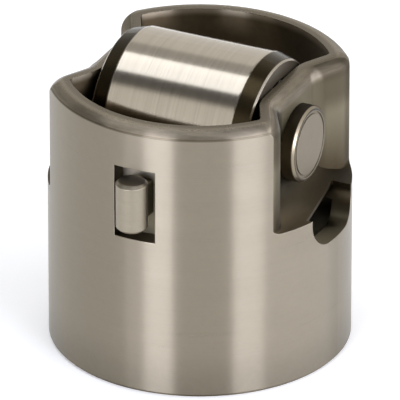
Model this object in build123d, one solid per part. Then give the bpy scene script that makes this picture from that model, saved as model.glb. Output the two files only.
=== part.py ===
from build123d import *
from math import asin, cos, pi, radians, sin
import os

# Fuel pump tappet. Millimetres. The origin is the centre of the skirt's open
# end, +Z points up to the cam, X lies along the roller's axle and the
# anti-rotation pin stands out on the -Y side.

# Housing: a deep-drawn sleeve, open at both ends, its outside ground round
housing_diameter = 31.0
grinding_allowance = 0.2
housing_height = 29.7
roller_section_wall = 2.0
skirt_wall = 1.7
rim_rounding = 1.5
skirt_chamfer = 0.25

# Housing: the two sides pressed in beside the roller
flat_distance = 10.8
flat_half_width = 4.2
corner_angle = 33.4
corner_bend = 3.5
flat_bend = 3.0
floor_height = 17.4
floor_bend = 2.5
floor_corner_bend = 0.5

# Housing: half-round notch under each pressed side
notch_half_width = 4.65
notch_bottom_height = 13.95
notch_corner = 2.8
notch_depth = 2.15
notch_skew = 9.0
notch_lip_thickness = 0.45
notch_lip_length = 1.5

# Housing: window for the anti-rotation pin
window_width = 4.5
window_height = 7.9
window_centre_height = 21.1

# Roller set
axle_height = 23.5
axle_diameter = 8.0
axle_overhang = 1.5
axle_end_chamfer = 0.3
axle_groove_diameter = 6.9
axle_groove_width = 0.25
axle_groove_depth = 0.15
roller_diameter = 17.2
roller_track_width = 13.7
roller_end_drop = 0.45
roller_end_chamfer = 0.2
roller_bore_chamfer = 0.3
needle_diameter = 2.0
needle_end_chamfer = 0.25

# Bridge piece: floor under the roller that the pump's plunger pushes on
bridge_ledge_height = 13.8
bridge_floor = 2.2
bridge_seat_depth = 0.2
bridge_floor_chamfer = 0.4
bridge_arm_wall = 1.6
bridge_arm_half_angle = 33.0
bridge_arm_top_height = 25.4
bridge_arm_rounding = 1.2
oil_hole_diameter = 2.6
oil_hole_pitch_radius = 8.6
oil_hole_count = 4
oil_hole_first_angle = 45.0

# Anti-rotation pin
pin_diameter = 3.25
pin_length = 5.35
pin_rise = 0.27
pin_overhang = 2.1
pin_chamfer = 0.3
pin_shank_width = 2.2
pin_shank_height = 3.6

# Fits
bore_fit = 0.01
seat_fit = 0.02
running_fit = 0.03
axial_play = 0.1
cut_margin = 2.0
search_margin = 0.1

outer_radius = housing_diameter / 2
drawn_radius = outer_radius + grinding_allowance
upper_bore_radius = outer_radius - roller_section_wall
skirt_bore_radius = outer_radius - skirt_wall
bridge_seat_radius = skirt_bore_radius + bridge_seat_depth
bridge_floor_bottom = bridge_ledge_height - bridge_floor
axle_radius = axle_diameter / 2
roller_radius = roller_diameter / 2
needle_radius = needle_diameter / 2
pin_radius = pin_diameter / 2
needle_circle_radius = axle_radius + running_fit + needle_radius
roller_bore_radius = needle_circle_radius + needle_radius + running_fit
inner_flat_distance = flat_distance - roller_section_wall
roller_half_width = inner_flat_distance - axial_play
needle_count = int(pi / asin(needle_radius / needle_circle_radius))
axle_half_length = flat_distance + axle_overhang


def cylinder_along_x(radius, start, end):
    """A cylinder on the axle's line, from one X to another."""
    disc = Plane.YZ.offset(start) * Pos(0, axle_height) * Circle(radius)
    return extrude(disc, end - start)


def pressed_side(growth):
    """The space pressed in on the +X side. Growth moves its faces inward by
    that much, so the same shape gives the outer and the inner wall face."""
    far = drawn_radius + 2 * cut_margin
    corner = radians(corner_angle)
    bend_x = drawn_radius * cos(corner)
    bend_y = drawn_radius * sin(corner)
    away_x = bend_x - drawn_radius * sin(corner)
    away_y = bend_y + drawn_radius * cos(corner)
    with BuildSketch(Plane.XY.offset(floor_height - growth)) as plan:
        with BuildLine():
            Polyline(
                (flat_distance, -flat_half_width),
                (bend_x, -bend_y),
                (away_x, -away_y),
                (far, -away_y),
                (far, away_y),
                (away_x, away_y),
                (bend_x, bend_y),
                (flat_distance, flat_half_width),
                close=True,
            )
        make_face()
        for place, bend in ((flat_distance, flat_bend), (bend_x, corner_bend)):
            near, beyond = place - search_margin, place + search_margin
            fillet(plan.vertices().filter_by_position(Axis.X, near, beyond), bend)
        if growth:
            offset(amount=growth, kind=Kind.INTERSECTION)
    space = extrude(plan.sketch, housing_height)
    near_edges = [
        edge
        for edge in space.faces().sort_by(Axis.Z)[0].edges()
        if abs(edge.center().Y) < bend_y + cut_margin and edge.center().X < drawn_radius
    ]
    space = fillet(near_edges, floor_corner_bend + growth)
    block = Pos(flat_distance - growth, 0, floor_height - growth) * Box(
        far, 3 * far, 2 * housing_height, align=(Align.MIN, Align.CENTER, Align.MIN)
    )
    flat_bottom = block.edges().filter_by(Axis.Y).sort_by(Axis.Z)[:2].sort_by(Axis.X)[0]
    return space & fillet(flat_bottom, floor_bend + growth)


def both_sides(shape):
    """A shape on the +X side together with its mirror image on the -X side."""
    return [shape, mirror(shape, about=Plane.YZ)]


def notch():
    """The half-round notch under the +X flat. It goes through the sleeve and
    leaves the pressed floor a thin free edge, a little askew."""
    edge_distance = outer_radius - notch_depth
    skewed = Pos(edge_distance, 0, floor_height) * Rot(0, 0, notch_skew)
    beyond = skewed * Box(
        outer_radius, 2 * outer_radius, 2 * outer_radius, align=(Align.MIN, Align.CENTER, Align.CENTER)
    )
    cuts = []
    for start, top in (
        (edge_distance - notch_lip_length, floor_height + cut_margin),
        (edge_distance - notch_lip_length, floor_height - notch_lip_thickness),
        (inner_flat_distance, floor_height - roller_section_wall),
    ):
        with BuildSketch(Plane.YZ.offset(start)) as outline:
            with BuildLine():
                FilletPolyline(
                    (-notch_half_width, floor_height + cut_margin),
                    (-notch_half_width, notch_bottom_height),
                    (notch_half_width, notch_bottom_height),
                    (notch_half_width, floor_height + cut_margin),
                    radius=notch_corner,
                )
                Line(
                    (-notch_half_width, floor_height + cut_margin),
                    (notch_half_width, floor_height + cut_margin),
                )
            make_face()
            with Locations((0, top + housing_height / 2)):
                Rectangle(housing_diameter, housing_height, mode=Mode.SUBTRACT)
        cuts.append(extrude(outline.sketch, outer_radius))
    return (cuts[0] & beyond) + cuts[1] + cuts[2]


def window():
    """The opening in the front wall for the anti-rotation pin."""
    opening = Box(window_width, 2 * roller_section_wall + cut_margin, window_height)
    return Pos(0, -outer_radius, window_centre_height) * opening


def rim_edges(part, height, inner=False):
    """The outer or the inner outline of the flat ring at a height."""
    rings = part.faces().filter_by(Axis.Z).sort_by(Axis.Z)
    ring = rings[0] if height == 0 else rings[-1]
    if inner:
        return ring.inner_wires()[0].edges()
    return ring.outer_wire().edges()


def housing():
    sleeve = extrude(Circle(drawn_radius), housing_height) - both_sides(pressed_side(0))
    sleeve = fillet(rim_edges(sleeve, housing_height), rim_rounding)
    sleeve &= extrude(Circle(outer_radius), housing_height)
    sleeve = chamfer(rim_edges(sleeve, 0), skirt_chamfer)
    bore = Pos(0, 0, bridge_ledge_height) * extrude(Circle(upper_bore_radius), housing_height)
    bore -= both_sides(pressed_side(roller_section_wall))
    sleeve -= bore
    sleeve -= extrude(Circle(skirt_bore_radius), bridge_ledge_height)
    seat = extrude(Circle(bridge_seat_radius), bridge_floor + axial_play)
    sleeve -= Pos(0, 0, bridge_floor_bottom - axial_play) * seat
    sleeve = chamfer(rim_edges(sleeve, 0, inner=True), skirt_chamfer)
    axle_bore = cylinder_along_x(axle_radius + bore_fit, -outer_radius, outer_radius)
    return sleeve - axle_bore - both_sides(notch()) - window()


def roller_axle():
    """Pin with chamfered ends, each with the ring that its staking leaves."""
    axle = cylinder_along_x(axle_radius, -axle_half_length, axle_half_length)
    axle = chamfer(axle.edges().filter_by(GeomType.CIRCLE), axle_end_chamfer)
    groove_radius = axle_groove_diameter / 2
    groove_start = axle_half_length - axle_groove_depth
    groove = cylinder_along_x(groove_radius, groove_start, axle_half_length)
    groove -= cylinder_along_x(groove_radius - axle_groove_width, groove_start, axle_half_length)
    return axle - both_sides(groove)


def cam_roller():
    """Cylindrical track with tapered ends, and a bore for the needles."""
    half_track = roller_track_width / 2
    end_radius = roller_radius - roller_end_drop
    half_section = Polyline(
        (0, roller_bore_radius),
        (0, roller_radius),
        (half_track, roller_radius),
        (roller_half_width - roller_end_chamfer, end_radius),
        (roller_half_width, end_radius - roller_end_chamfer),
        (roller_half_width, roller_bore_radius + roller_bore_chamfer),
        (roller_half_width - roller_bore_chamfer, roller_bore_radius),
        close=True,
    )
    half = revolve(Plane.XZ * make_face(half_section), Axis.X)
    return Pos(0, 0, axle_height) * (half + mirror(half, about=Plane.YZ))


def needle(number):
    """One needle of the full row between axle and roller."""
    angle = radians(360 / needle_count * (number + 0.5))
    rod = Plane.YZ * Circle(needle_radius)
    rod = extrude(rod, roller_half_width, both=True)
    rod = chamfer(rod.edges().filter_by(GeomType.CIRCLE), needle_end_chamfer)
    centre = (0, needle_circle_radius * sin(angle), axle_height + needle_circle_radius * cos(angle))
    return Pos(*centre) * rod


def oil_holes():
    """Holes through the bridge floor, spread between the arms."""
    drill = Cylinder(oil_hole_diameter / 2, 2 * bridge_floor + cut_margin)
    middle = Pos(0, 0, bridge_ledge_height - bridge_floor / 2)
    spots = PolarLocations(oil_hole_pitch_radius, oil_hole_count, oil_hole_first_angle)
    return [middle * spot * drill for spot in spots]


def pin_shank(clearance):
    """The flat shank behind the pin, from the pin's axis through the arm."""
    front = -(outer_radius + pin_overhang - pin_radius)
    back = -(upper_bore_radius - bridge_arm_wall)
    width = pin_shank_width + 2 * clearance
    height = pin_shank_height + 2 * clearance
    bar = Box(width, back - front, height)
    return Pos(0, (front + back) / 2, window_centre_height + pin_rise) * bar


def bridge_piece():
    """Round floor with a front and a rear arm that line the sleeve's wall."""
    floor = extrude(Circle(bridge_seat_radius - seat_fit), bridge_floor)
    floor = chamfer(floor.edges().sort_by(Axis.Z)[0], bridge_floor_chamfer)
    floor = Pos(0, 0, bridge_floor_bottom) * floor
    arm_height = bridge_arm_top_height - bridge_ledge_height
    arm_outer = upper_bore_radius - seat_fit
    half_width = upper_bore_radius * sin(radians(bridge_arm_half_angle))
    ring = Circle(arm_outer) - Circle(arm_outer - bridge_arm_wall)
    arms = extrude(ring & Rectangle(2 * half_width, housing_diameter), arm_height)
    top_edges = arms.edges().filter_by(Axis.Y).group_by(Axis.Z)[-1]
    arms = fillet(top_edges, bridge_arm_rounding)
    return floor + Pos(0, 0, bridge_ledge_height) * arms


def anti_rotation_pin():
    centre = (0, -(outer_radius + pin_overhang - pin_radius), window_centre_height + pin_rise)
    pin = Cylinder(pin_radius, pin_length)
    pin = chamfer(pin.edges().filter_by(GeomType.CIRCLE), pin_chamfer)
    return Pos(*centre) * pin + pin_shank(0)


os.makedirs("parts", exist_ok=True)
nodes = {
    "tappet_housing": housing(),
    "bridge_piece": bridge_piece() - oil_holes() - pin_shank(seat_fit),
    "roller_axle": roller_axle(),
    "cam_roller": cam_roller(),
    "anti_rotation_pin": anti_rotation_pin(),
}
for number in range(needle_count):
    nodes[f"needle_{number + 1:02d}"] = needle(number)
for name, solid in nodes.items():
    export_step(solid, f"parts/{name}.step")
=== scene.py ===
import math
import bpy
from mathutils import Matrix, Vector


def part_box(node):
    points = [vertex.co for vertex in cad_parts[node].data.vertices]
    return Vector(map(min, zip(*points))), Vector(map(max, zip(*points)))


bl_info = {
    "name": "Fuel Pump Tappet",
    "version": (1, 0, 0),
    "blender": (4, 5, 0),
    "location": "3D View > Sidebar > Tappet",
    "description": "Gives a roller tappet its ground, pressed and turned steel on a pale studio floor",
    "category": "Object",
}

import bpy
from mathutils import Matrix, Vector

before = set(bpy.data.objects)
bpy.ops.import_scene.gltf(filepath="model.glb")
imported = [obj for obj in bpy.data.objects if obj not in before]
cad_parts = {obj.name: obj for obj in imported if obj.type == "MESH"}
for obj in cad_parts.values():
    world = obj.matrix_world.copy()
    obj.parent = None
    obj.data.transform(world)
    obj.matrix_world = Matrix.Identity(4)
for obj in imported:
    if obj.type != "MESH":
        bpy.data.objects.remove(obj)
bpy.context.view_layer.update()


def size_of(node):
    """A node's lowest and highest corner at rest, in millimetres."""
    low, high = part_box(node)
    return 1000 * low, 1000 * high


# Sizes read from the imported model, in millimetres
housing_high = size_of("tappet_housing")[1]
roller_low, roller_high = size_of("cam_roller")
axle_low, axle_high = size_of("roller_axle")
OUTER_RADIUS = housing_high.x
RIM_HEIGHT = housing_high.z
AXLE_HEIGHT = (axle_low.z + axle_high.z) / 2
AXLE_RADIUS = (axle_high.z - axle_low.z) / 2
ROLLER_RADIUS = (roller_high.z - roller_low.z) / 2
PIN_TOP = size_of("anti_rotation_pin")[1].z

# Places on the pieces that the finishes follow, in millimetres
GROUND_TOP = 28.95
RIM_FOOT = 28.0
NOTCH_TOP = 14.6
PRESSED_DISTANCE = 9.8
PRESSED_HALF_WIDTH = 4.5
PRESSED_SLOPE = 0.52
WALL_MIDDLE_RADIUS = 13.56
WINDOW_HALF_WIDTH = 2.3
WINDOW_FRONT = -13.2
END_RADIUS = ROLLER_RADIUS - 0.45
ROLLER_EDGE = 0.06
PIN_EDGE = 0.08

MICRON = 1e-6
FINE_MARK_DEPTH = 2.5 * MICRON
STAMPED_GRAIN_DEPTH = 4.0 * MICRON
EDGE_SAMPLES = 6
NEEDLE_DARK = (0.50, 0.48, 0.44, 1.0)
NEEDLE_LIGHT = (0.60, 0.58, 0.54, 1.0)

WHITE = (1.0, 1.0, 1.0, 1.0)
ROOM_COLOUR = (1.0, 0.985, 0.955, 1.0)
LAMP_COLOUR = (0.96, 1.0, 1.18)
OVERHEAD_COLOUR = (0.96, 1.0, 1.08)
LAMP_DISTANCE = 1.2
ROOM_BAND = 0.90
ROOM_BEHIND = 0.53
FLOOR_SIZE = 6.0
FLOOR_DEPTH = 0.00002
FLOOR_GLOW = 0.2


class Value:
    """A socket's output. Arithmetic on it adds Math nodes to its material."""

    def __init__(self, net, socket):
        self.net = net
        self.socket = socket

    def math(self, operation, *others):
        return self.net.maths(operation, self, *others)

    def __add__(self, other):
        return self.math("ADD", other)

    __radd__ = __add__

    def __sub__(self, other):
        return self.math("SUBTRACT", other)

    def __rsub__(self, other):
        return self.net.maths("SUBTRACT", other, self)

    def __mul__(self, other):
        return self.math("MULTIPLY", other)

    __rmul__ = __mul__

    def __abs__(self):
        return self.math("ABSOLUTE")

    def root(self):
        return self.math("SQRT")

    def at_least(self, other):
        """The larger of the two."""
        return self.math("MAXIMUM", other)

    def above(self, low, high):
        """0 below low, 1 above high, and a soft step between them."""
        return self.net.node(
            "ShaderNodeMapRange",
            {"interpolation_type": "SMOOTHSTEP"},
            {"Value": self, "From Min": low, "From Max": high},
        )

    def below(self, low, high):
        """1 below low, 0 above high, and a soft step between them."""
        return 1.0 - self.above(low, high)

    def within(self, low, high, soft):
        """1 from low to high, with a soft step inside each end."""
        return self.above(low, low + soft) * self.below(high - soft, high)


class Net:
    """The nodes of one material or of the world."""

    def __init__(self, tree):
        self.tree = tree

    def feed(self, socket, value):
        if isinstance(value, Value):
            self.tree.links.new(value.socket, socket)
        else:
            socket.default_value = value

    def node(self, kind, settings=None, inputs=None, output=0):
        """Adds a node. Its settings come first, then the values or links of its sockets."""
        made = self.tree.nodes.new(kind)
        for name, value in (settings or {}).items():
            setattr(made, name, value)
        for name, value in (inputs or {}).items():
            self.feed(made.inputs[name], value)
        return Value(self, made.outputs[output]) if made.outputs else None

    def maths(self, operation, *values):
        return self.node("ShaderNodeMath", {"operation": operation}, dict(enumerate(values)))

    def parts(self, vector):
        """The x, y and z of a vector."""
        split = self.node("ShaderNodeSeparateXYZ", inputs={"Vector": vector}).socket.node
        return [Value(self, output) for output in split.outputs]

    def place(self):
        """Object coordinates in millimetres, as x, y and z."""
        metres = self.node("ShaderNodeTexCoord", output="Object")
        return [1000.0 * part for part in self.parts(metres)]

    def noise(self, x, y, z, scale=1.0, detail=3.0, roughness=0.55):
        """Noise over three coordinates. Shortened ones draw it out into marks that run their way."""
        vector = self.node("ShaderNodeCombineXYZ", inputs={"X": x, "Y": y, "Z": z})
        return self.node(
            "ShaderNodeTexNoise",
            inputs={"Vector": vector, "Scale": scale, "Detail": detail, "Roughness": roughness},
        )

    def blend(self, factor, first, second):
        """A colour between two others."""
        # A Mix node has sockets for each kind of data. Inputs 6 and 7 and output 2 are its colours.
        inputs = {0: factor, 6: first, 7: second}
        return self.node("ShaderNodeMix", {"data_type": "RGBA"}, inputs, output=2)

    def shades(self, factor, rgb, low, high):
        """One colour between a darker and a lighter shade of itself."""
        return self.blend(factor, colour(rgb, low), colour(rgb, high))


class Steel(Net):
    """A material with one metallic Principled shader."""

    def __init__(self, name, anisotropy=0.0, turn=0.0):
        self.material = bpy.data.materials.new(name)
        self.material.use_nodes = True
        super().__init__(self.material.node_tree)
        self.shader = self.tree.nodes["Principled BSDF"]
        self.set("Metallic", 1.0)
        self.set("Anisotropic", anisotropy)
        self.set("Anisotropic Rotation", turn)

    def set(self, name, value):
        self.feed(self.shader.inputs[name], value)

    def relief(self, height, depth, edge):
        """Raises the surface by a depth in metres, and breaks its edges by a radius in millimetres."""
        rounded = self.node("ShaderNodeBevel", {"samples": EDGE_SAMPLES}, {"Radius": edge / 1000})
        inputs = {"Height": height, "Distance": depth, "Strength": 1.0, "Normal": rounded}
        self.set("Normal", self.node("ShaderNodeBump", inputs=inputs))


def colour(rgb, factor=1.0):
    return (rgb[0] * factor, rgb[1] * factor, rgb[2] * factor, 1.0)


def dress(node, material):
    """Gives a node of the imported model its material."""
    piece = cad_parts[node]
    piece.data.materials.clear()
    piece.data.materials.append(material)


def colour_property(name, description, default):
    return bpy.props.FloatVectorProperty(
        name=name,
        description=description,
        default=default,
        subtype="COLOR",
        size=3,
        min=0.0,
        max=1.0,
    )


class TappetFinish(bpy.types.PropertyGroup):
    """Colours and finish of the steel."""

    ground: colour_property(
        "Ground steel", "The skirt's ground outside face", (0.265, 0.232, 0.177)
    )
    pressed: colour_property(
        "Pressed steel", "The matt faces pressed in beside the roller", (0.183, 0.16, 0.108)
    )
    # Dark scale colour, which the housing and the axle also use for painted shade
    scale: colour_property(
        "Scale", "The dark skin low in the pressed sides", (0.074, 0.057, 0.033)
    )
    # The dark colour paints shade on the sleeve's inner wall
    inside: colour_property("Inside", "The sleeve's inner wall", (0.066, 0.05, 0.03))
    roller: colour_property("Roller", "The roller's ground track", (0.49, 0.44, 0.365))
    taper: colour_property(
        "Roller ends", "The roller's tapered ends and end faces", (0.036, 0.027, 0.014)
    )
    axle: colour_property("Axle", "The axle's turned end faces", (0.205, 0.173, 0.125))
    rim: colour_property("Rim", "The flat ring of the upper rim", (0.305, 0.262, 0.198))
    pin: colour_property("Pin", "The anti-rotation pin", (0.29, 0.256, 0.195))
    grain: bpy.props.FloatProperty(
        name="Grinding depth",
        description="Height of the grinding marks, in thousandths of a millimetre",
        default=3.0,
        min=0.0,
        max=20.0,
    )
    edge: bpy.props.FloatProperty(
        name="Broken edges",
        description="Radius of the broken edges, in millimetres",
        default=0.12,
        min=0.01,
        max=0.5,
    )


class TappetStudio(bpy.types.PropertyGroup):
    """Camera, lamps and floor."""

    azimuth: bpy.props.FloatProperty(
        name="Azimuth",
        description="Camera's turn from the front to the right",
        default=math.radians(25.373),
        subtype="ANGLE",
    )
    elevation: bpy.props.FloatProperty(
        name="Elevation",
        description="Camera's height above the horizon",
        default=math.radians(26.854),
        subtype="ANGLE",
    )
    distance: bpy.props.FloatProperty(
        name="Distance",
        description="Camera's distance from the tappet",
        default=1.0,
        unit="LENGTH",
    )
    aim: bpy.props.FloatProperty(
        name="Aim",
        description="Height that the camera looks at",
        default=0.014552,
        unit="LENGTH",
    )
    lens: bpy.props.FloatProperty(
        name="Lens", description="Focal length in millimetres", default=883.5, unit="CAMERA"
    )
    lamps: bpy.props.FloatProperty(
        name="Softboxes",
        description="Brightness of the four upright softboxes",
        default=11.3,
        min=0.0,
    )
    overhead: bpy.props.FloatProperty(
        name="Overhead", description="Brightness of the two softboxes above", default=1.95, min=0.0
    )
    room: bpy.props.FloatProperty(
        name="Room",
        description="Brightness of the room above its bright band",
        default=0.145,
        min=0.0,
    )
    floor: colour_property("Floor", "The pale floor", (0.9, 0.9, 0.89))


class TAPPET_OT_housing(bpy.types.Operator):
    """Finish the housing: ground skirt, matt pressed sides with painted shade, painted shade on the
    inner wall
    """

    bl_idname = "tappet.housing"
    bl_label = "Finish Housing"

    def execute(self, context):
        finish = context.scene.tappet_finish
        # The scale colour also serves as painted shade
        scale_and_shade_colour = colour(finish.scale)
        steel = Steel("housing_steel", anisotropy=1.0, turn=0.25)
        x, y, z = steel.place()
        radius = (x * x + y * y).root()
        across = abs(y)

        lines = steel.noise(x * 0.02, y * 0.02, z * 6.0, detail=4.0, roughness=0.7)
        around = steel.noise(x * 0.4, y * 0.4, z * 4.0, detail=4.0, roughness=0.65)
        patches = steel.noise(x * 0.12, y * 0.12, z * 0.5, detail=2.0)
        mottle = steel.noise(x, y, z, scale=1.4, detail=5.0, roughness=0.6)
        fine = steel.noise(x, y, z, scale=9.0, detail=3.0, roughness=0.6)

        # The faces: ground outside, faces outside the pressed sides, outer half of the wall, rim
        ground = radius.above(OUTER_RADIUS - 0.05, OUTER_RADIUS - 0.02)
        flank = PRESSED_SLOPE * (across - PRESSED_HALF_WIDTH).at_least(0.0)
        outside = (abs(x) - PRESSED_DISTANCE - flank).above(-0.1, 0.1)
        outer_half = radius.above(WALL_MIDDLE_RADIUS, WALL_MIDDLE_RADIUS + 0.14).at_least(outside)
        top = z.above(RIM_FOOT, RIM_FOOT + 0.9)
        ring = z.above(RIM_HEIGHT - 0.12, RIM_HEIGHT - 0.03)
        # The cut faces of the opening for the pin, which get painted shade
        window_shade = abs(x).below(WINDOW_HALF_WIDTH, WINDOW_HALF_WIDTH + 0.1)
        window_shade = window_shade * y.below(WINDOW_FRONT - 0.1, WINDOW_FRONT)
        window_shade = window_shade * radius.below(OUTER_RADIUS - 0.1, OUTER_RADIUS - 0.03)

        # The pressed sides: painted shade in the bends and on the upper flares, darker low down from
        # scale and painted shade, and a painted highlight on the notch's edge
        flare = across.above(4.9, 5.4) * outside * (1.0 - ground)
        crease_shade = across.above(3.3, 4.0) * across.below(5.0, 5.8) * z.below(28.2, 29.2)
        shoulder_shade = flare * z.above(24.0, 26.3) * (1.0 - crease_shade)
        lip_highlight = z.below(NOTCH_TOP, NOTCH_TOP + 0.8) * across.below(6.0, 6.5)
        skin = steel.shades(0.35 * mottle + 0.2 * fine, finish.pressed, 1.0, 1.5)
        # Painted shade in the bends and on the upper flares
        skin = steel.blend(0.1 * flare + 0.62 * crease_shade + 0.5 * shoulder_shade, skin, scale_and_shade_colour)
        # Low down the pressed faces turn dark, partly scale and partly painted shade; the notch's edge
        # gets a painted highlight
        clear_of_scale_and_shade = (z.above(17.0, 25.5) + 0.5 * lip_highlight) * (1.0 - window_shade)
        skin = steel.blend(clear_of_scale_and_shade, steel.shades(mottle, finish.scale, 0.8, 1.2), skin)
        # Painted shade in the cut faces of the opening for the pin
        skin = steel.blend(0.75 * window_shade, skin, colour(finish.scale, 0.3))

        # The inner wall: painted shade beside the roller, the rim's colour at its top, and painted
        # light in the skirt's hole below
        dark = steel.shades(mottle, finish.inside, 1.0, 1.6)
        dark = steel.blend(z.above(RIM_HEIGHT - 0.9, RIM_HEIGHT), dark, colour(finish.rim))
        bore_painted_light = steel.shades(mottle, finish.ground, 1.1, 1.6)
        dark = steel.blend(z.below(11.0, 14.0), dark, bore_painted_light)

        # The ground outside: painted shade toward its lower edge, and darker still in a thin band at
        # the very bottom
        bright = steel.shades(
            0.3 * lines + 0.35 * patches + 0.3 * mottle, finish.ground, 0.85, 1.14
        )
        foot_shade = steel.shades(mottle, finish.ground, 0.72, 0.86)
        bright = steel.blend(z.above(0.3, 6.0), foot_shade, bright)
        bright = steel.blend(z.above(0.1, 0.4), scale_and_shade_colour, bright)

        # The rim: streaks round its rounding, painted shade on the rounding above the flares, and a
        # flat ring with painted shade toward its inner edge and a painted highlight above the flares
        base = steel.blend(outer_half, dark, skin)
        rounding = steel.shades(around, finish.rim, 0.36, 1.15)
        base = steel.blend(top * outer_half, base, rounding)
        # Painted shade on the rounding above the flares
        base = steel.blend(0.55 * flare * z.above(27.6, 28.6), base, scale_and_shade_colour)
        flat_ring = steel.shades(mottle, finish.rim, 0.78, 0.98)
        # Painted shade toward the ring's inner edge and a painted highlight above the flares
        flat_ring = steel.blend(0.5 * radius.below(13.9, 14.4), flat_ring, scale_and_shade_colour)
        flat_ring = steel.blend(0.5 * flare, flat_ring, colour(finish.roller))
        base = steel.blend(ring, base, flat_ring)
        base = steel.blend(ground, base, bright)

        # A thin darker band where the ground outside ends, and the skirt's flat lower end
        ground_top_band = z.within(GROUND_TOP - 0.16, GROUND_TOP + 0.14, 0.08)
        ground_top_band = 0.6 * ground_top_band * radius.above(OUTER_RADIUS - 0.2, OUTER_RADIUS - 0.1)
        base = steel.blend(ground_top_band, base, scale_and_shade_colour)
        lower_end = steel.shades(mottle, finish.ground, 0.8, 1.1)
        base = steel.blend(z.below(0.02, 0.06), base, lower_end)
        steel.set("Base Color", base)

        matt = 0.5 + 0.12 * (mottle - 0.5) - 0.16 * top + 0.12 * shoulder_shade
        polished = 0.29 + 0.06 * (lines - 0.5) + 0.04 * (patches - 0.5)
        steel.set("Roughness", matt + (polished - matt) * ground - 0.08 * ring)
        pressed_grain = (1.0 - ground) * (1.0 - 0.8 * top) * (0.7 * mottle + 0.3 * fine)
        steel.relief(0.6 * ground * lines + pressed_grain, finish.grain * MICRON, finish.edge)
        dress("tappet_housing", steel.material)
        return {"FINISHED"}


class TAPPET_OT_bridge(bpy.types.Operator):
    """Finish the bridge piece as stamped steel, darker low down, with painted light on its upper end
    """

    bl_idname = "tappet.bridge"
    bl_label = "Finish Bridge Piece"

    def execute(self, context):
        finish = context.scene.tappet_finish
        steel = Steel("bridge_steel")
        x, y, z = steel.place()
        mottle = steel.noise(x, y, z, scale=1.1, detail=5.0, roughness=0.6)
        shade = steel.shades(mottle, finish.pressed, 0.9, 1.5)
        # Painted light: the upper end is lighter
        tip_painted_light = steel.shades(mottle, finish.roller, 1.0, 1.2)
        shade = steel.blend(z.above(22.5, 24.5), shade, tip_painted_light)
        # Darker toward the bottom
        low_darker = steel.shades(mottle, finish.pressed, 0.5, 0.9)
        steel.set("Base Color", steel.blend(z.below(14.0, 20.0), shade, low_darker))
        steel.set("Roughness", 0.42 + 0.16 * mottle)
        steel.relief(mottle, STAMPED_GRAIN_DEPTH, finish.edge)
        dress("bridge_piece", steel.material)
        return {"FINISHED"}


class TAPPET_OT_axle(bpy.types.Operator):
    """Finish the axle: turned rings on its end faces, painted shade on its side and a painted
    highlight on its bevelled edge
    """

    bl_idname = "tappet.axle"
    bl_label = "Finish Axle"

    def execute(self, context):
        finish = context.scene.tappet_finish
        steel = Steel("axle_steel")
        x, y, z = steel.place()
        up = z - AXLE_HEIGHT
        radius = (y * y + up * up).root()
        rings = steel.noise(radius * 5.0, x * 0.5, 0.0, detail=3.0, roughness=0.6)
        cloud = steel.noise(x, y, z, scale=0.7, detail=3.0)
        face = radius.below(AXLE_RADIUS - 0.5, AXLE_RADIUS - 0.4)
        chamfer_highlight = radius.within(AXLE_RADIUS - 0.3, AXLE_RADIUS - 0.03, 0.05)
        shade = steel.shades(0.3 * rings + 0.5 * cloud, finish.axle, 0.85, 1.15)
        # Painted shade: the side is dark, darkest toward its top
        lower = z.below(AXLE_HEIGHT + 0.5, AXLE_HEIGHT + 3.5)
        side = steel.shades(lower, finish.scale, 0.3, 0.95)
        # A painted highlight on the bevelled edge
        side = steel.blend(chamfer_highlight, side, colour(finish.axle, 1.3))
        steel.set("Base Color", steel.blend(face, side, shade))
        ground_side = radius.above(AXLE_RADIUS - 0.1, AXLE_RADIUS - 0.02)
        steel.set("Roughness", 0.28 + 0.14 * face + 0.08 * rings + 0.15 * ground_side)
        steel.relief(rings, FINE_MARK_DEPTH, finish.edge)
        dress("roller_axle", steel.material)
        return {"FINISHED"}


class TAPPET_OT_roller(bpy.types.Operator):
    """Finish the roller: grinding marks round the track, dark tapered ends, and a painted highlight
    ring at each end face
    """

    bl_idname = "tappet.roller"
    bl_label = "Finish Roller"

    def execute(self, context):
        finish = context.scene.tappet_finish
        steel = Steel("roller_steel")
        x, y, z = steel.place()
        up = z - AXLE_HEIGHT
        radius = (y * y + up * up).root()
        marks = steel.noise(x * 6.0, y * 0.05, up * 0.05, detail=5.0, roughness=0.8)
        broad = steel.noise(x * 1.3, y * 0.1, up * 0.1, detail=2.0)
        cloud = steel.noise(x, y, z, scale=0.6, detail=4.0)
        track = radius.above(ROLLER_RADIUS - 0.05, ROLLER_RADIUS - 0.015)
        end = radius.below(END_RADIUS - 0.24, END_RADIUS - 0.16)
        # A painted highlight ring round each end face
        edge = radius.within(END_RADIUS - 0.24, END_RADIUS, 0.06)
        bright = steel.shades(0.7 * marks + 0.3 * broad, finish.roller, 0.72, 1.24)
        ends = steel.shades(cloud, finish.taper, 0.9, 1.5)
        ends = steel.blend(0.16 * end + 0.8 * edge, ends, colour(finish.roller))
        steel.set("Base Color", steel.blend(track, ends, bright))
        steel.set("Roughness", 0.25 + 0.11 * end - 0.105 * track + 0.1 * (marks - 0.5))
        steel.relief(marks, finish.grain * MICRON, ROLLER_EDGE)
        dress("cam_roller", steel.material)
        return {"FINISHED"}


class TAPPET_OT_needles(bpy.types.Operator):
    """Finish the needles as polished bearing steel"""

    bl_idname = "tappet.needles"
    bl_label = "Finish Needles"

    def execute(self, context):
        steel = Steel("needle_steel")
        x, y, z = steel.place()
        marks = steel.noise(x * 6.0, y, z, detail=2.0)
        steel.set("Base Color", steel.blend(marks, NEEDLE_DARK, NEEDLE_LIGHT))
        steel.set("Roughness", 0.16 + 0.08 * marks)
        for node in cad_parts:
            if node.startswith("needle_"):
                dress(node, steel.material)
        return {"FINISHED"}


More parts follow.
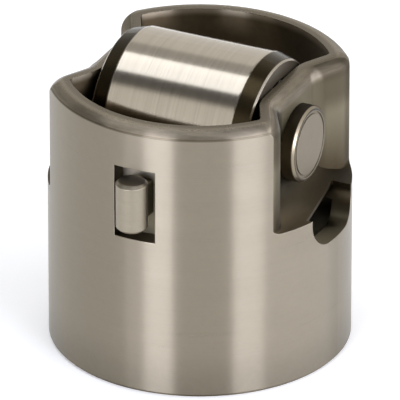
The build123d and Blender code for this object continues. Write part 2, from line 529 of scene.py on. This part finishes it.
class TAPPET_OT_pin(bpy.types.Operator):
    """Finish the anti-rotation pin: ground round, with painted shade on its top end"""

    bl_idname = "tappet.pin"
    bl_label = "Finish Anti-rotation Pin"

    def execute(self, context):
        finish = context.scene.tappet_finish
        steel = Steel("pin_steel")
        x, y, z = steel.place()
        lines = steel.noise(x * 0.3, y * 0.3, z * 7.0, detail=3.0, roughness=0.7)
        cloud = steel.noise(x, y, z, scale=1.6, detail=3.0)
        # Painted shade on the top end
        upper_end_shade = z.above(PIN_TOP - 0.12, PIN_TOP - 0.03)
        side = steel.shades(0.5 * lines + 0.4 * cloud, finish.pin, 0.85, 1.2)
        steel.set("Base Color", steel.blend(upper_end_shade, side, colour(finish.pin, 0.8)))
        steel.set("Roughness", 0.30 + 0.12 * lines)
        steel.relief(lines, FINE_MARK_DEPTH, PIN_EDGE)
        dress("anti_rotation_pin", steel.material)
        return {"FINISHED"}


def way_to(azimuth, elevation):
    """The way from the tappet to a lamp or the camera. Azimuth runs from the front to the right."""
    level = math.cos(elevation)
    return Vector((math.sin(azimuth) * level, -math.cos(azimuth) * level, math.sin(elevation)))


def softbox(name, aim, azimuth, elevation, width, height, brightness, edge=None, tint=LAMP_COLOUR):
    """A rectangular lamp that faces the tappet, as wide and high as its angles in degrees.
    Its width runs along the given edge, or else level."""
    away = way_to(math.radians(azimuth), math.radians(elevation))
    side = edge - away * edge.dot(away) if edge else Vector((0, 0, 1)).cross(away)
    side.normalize()
    lamp = bpy.data.lights.new(name, "AREA")
    lamp.shape = "RECTANGLE"
    lamp.size = 2 * LAMP_DISTANCE * math.tan(math.radians(width) / 2)
    lamp.size_y = 2 * LAMP_DISTANCE * math.tan(math.radians(height) / 2)
    lamp.energy = brightness * math.pi * lamp.size * lamp.size_y
    lamp.color = tint
    made = bpy.data.objects.new(name, lamp)
    made.location = aim + away * LAMP_DISTANCE
    made.rotation_mode = "QUATERNION"
    made.rotation_quaternion = Matrix((side, away.cross(side), away)).transposed().to_quaternion()
    bpy.context.scene.collection.objects.link(made)


class TAPPET_OT_stage(bpy.types.Operator):
    """Build the floor, the light room, the softboxes and the camera"""

    bl_idname = "tappet.stage"
    bl_label = "Build Stage"

    def floor(self, studio):
        """A pale floor that looks whiter to the eye and in gloss, and is clear from below."""
        bpy.ops.object.select_all(action="DESELECT")
        bpy.ops.mesh.primitive_plane_add(size=FLOOR_SIZE, location=(0, 0, -FLOOR_DEPTH))
        floor = bpy.context.object
        floor.name = "floor"
        material = bpy.data.materials.new("pale_floor")
        material.use_nodes = True
        net = Net(material.node_tree)
        net.tree.nodes.clear()
        seen = net.node("ShaderNodeLightPath", output="Is Camera Ray")
        for ray in ("Is Glossy Ray", "Is Transmission Ray"):
            seen = seen.at_least(net.node("ShaderNodeLightPath", output=ray))
        below = net.node("ShaderNodeNewGeometry", output="Backfacing")
        matt = net.node("ShaderNodeBsdfDiffuse", inputs={"Color": colour(studio.floor)})
        glow = net.node("ShaderNodeEmission", inputs={"Color": WHITE, "Strength": FLOOR_GLOW})
        lit = net.node("ShaderNodeAddShader", inputs={0: matt, 1: glow})
        pale = net.node("ShaderNodeMixShader", inputs={0: seen, 1: matt, 2: lit})
        clear = net.node("ShaderNodeBsdfTransparent")
        surface = net.node("ShaderNodeMixShader", inputs={0: below, 1: pale, 2: clear})
        net.node("ShaderNodeOutputMaterial", inputs={"Surface": surface})
        floor.data.materials.append(material)

    def room(self, studio):
        """A dim room with a bright band low down, a dark flag at the left and a wall behind."""
        world = bpy.data.worlds.new("room")
        bpy.context.scene.world = world
        world.use_nodes = True
        net = Net(world.node_tree)
        net.tree.nodes.clear()
        seen = net.node("ShaderNodeLightPath", output="Is Camera Ray")
        side, back, height = net.parts(net.node("ShaderNodeTexCoord", output="Generated"))
        flag = side.below(-0.70, -0.50) * height.above(0.10, 0.25)
        band = height.below(0.705, 0.80) * (1.0 - flag)
        behind = ROOM_BEHIND * back.above(0.0, 0.06) * height.below(0.90, 0.93)
        level = studio.room + (ROOM_BAND - studio.room) * band
        level = level.at_least(behind).at_least(seen)
        tone = net.blend(seen, ROOM_COLOUR, WHITE)
        light = net.node("ShaderNodeBackground", inputs={"Color": tone, "Strength": level})
        net.node("ShaderNodeOutputWorld", inputs={"Surface": light})

    def lamps(self, studio, aim):
        """Four upright softboxes for the skirt's reflections, and two above for the roller and rim."""
        front = math.degrees(studio.azimuth)
        along = Vector((1, 0, 0))
        softbox(
            "left_softbox", aim, azimuth=front - 30.1, elevation=13.0,
            width=21.0, height=26.0, brightness=1.06 * studio.lamps,
        )
        softbox(
            "flank_softbox", aim, azimuth=front - 47.5, elevation=3.0,
            width=14.0, height=12.0, brightness=0.42 * studio.lamps,
        )
        softbox(
            "right_softbox", aim, azimuth=front + 35.05, elevation=13.0,
            width=22.5, height=26.0, brightness=0.93 * studio.lamps,
        )
        softbox(
            "side_softbox", aim, azimuth=front + 78.0, elevation=13.0,
            width=62.0, height=26.0, brightness=0.34 * studio.lamps,
        )
        softbox(
            "overhead_softbox", aim, azimuth=-92.9, elevation=76.0,
            width=47.0, height=28.6, brightness=studio.overhead, edge=along, tint=OVERHEAD_COLOUR,
        )
        softbox(
            "crown_softbox", aim, azimuth=58.4, elevation=62.9,
            width=22.0, height=22.0, brightness=0.5 * studio.overhead, edge=along,
        )

    def camera(self, studio, aim):
        back = way_to(studio.azimuth, studio.elevation)
        camera = bpy.data.cameras.new("camera")
        camera.lens = studio.lens
        camera.sensor_width = 36.0
        camera.clip_start = 0.1
        camera.clip_end = 20.0
        made = bpy.data.objects.new("camera", camera)
        made.location = aim + back * studio.distance
        made.rotation_mode = "QUATERNION"
        made.rotation_quaternion = back.to_track_quat("Z", "Y")
        bpy.context.scene.collection.objects.link(made)
        bpy.context.scene.camera = made

    def execute(self, context):
        studio = context.scene.tappet_studio
        bpy.context.scene.view_settings.view_transform = "Standard"
        aim = Vector((0, 0, studio.aim))
        self.floor(studio)
        self.room(studio)
        self.camera(studio, aim)
        self.lamps(studio, aim)
        return {"FINISHED"}


OPERATORS = (
    TAPPET_OT_housing,
    TAPPET_OT_bridge,
    TAPPET_OT_axle,
    TAPPET_OT_roller,
    TAPPET_OT_needles,
    TAPPET_OT_pin,
    TAPPET_OT_stage,
)


class TAPPET_PT_panel(bpy.types.Panel):
    """Sidebar panel of the tappet"""

    bl_idname = "TAPPET_PT_panel"
    bl_label = "Fuel Pump Tappet"
    bl_space_type = "VIEW_3D"
    bl_region_type = "UI"
    bl_category = "Tappet"

    def draw(self, context):
        for group in (context.scene.tappet_finish, context.scene.tappet_studio):
            box = self.layout.box()
            for name in group.bl_rna.properties.keys():
                if name not in ("rna_type", "name"):
                    box.prop(group, name)
        for operator in OPERATORS:
            self.layout.operator(operator.bl_idname)


CLASSES = (TappetFinish, TappetStudio) + OPERATORS + (TAPPET_PT_panel,)


def register():
    for cls in CLASSES:
        bpy.utils.register_class(cls)
    bpy.types.Scene.tappet_finish = bpy.props.PointerProperty(type=TappetFinish)
    bpy.types.Scene.tappet_studio = bpy.props.PointerProperty(type=TappetStudio)


def unregister():
    del bpy.types.Scene.tappet_studio
    del bpy.types.Scene.tappet_finish
    for cls in reversed(CLASSES):
        bpy.utils.unregister_class(cls)


def main():
    register()
    bpy.ops.tappet.housing()
    bpy.ops.tappet.bridge()
    bpy.ops.tappet.axle()
    bpy.ops.tappet.roller()
    bpy.ops.tappet.needles()
    bpy.ops.tappet.pin()
    bpy.ops.tappet.stage()


if __name__ == "__main__":
    main()
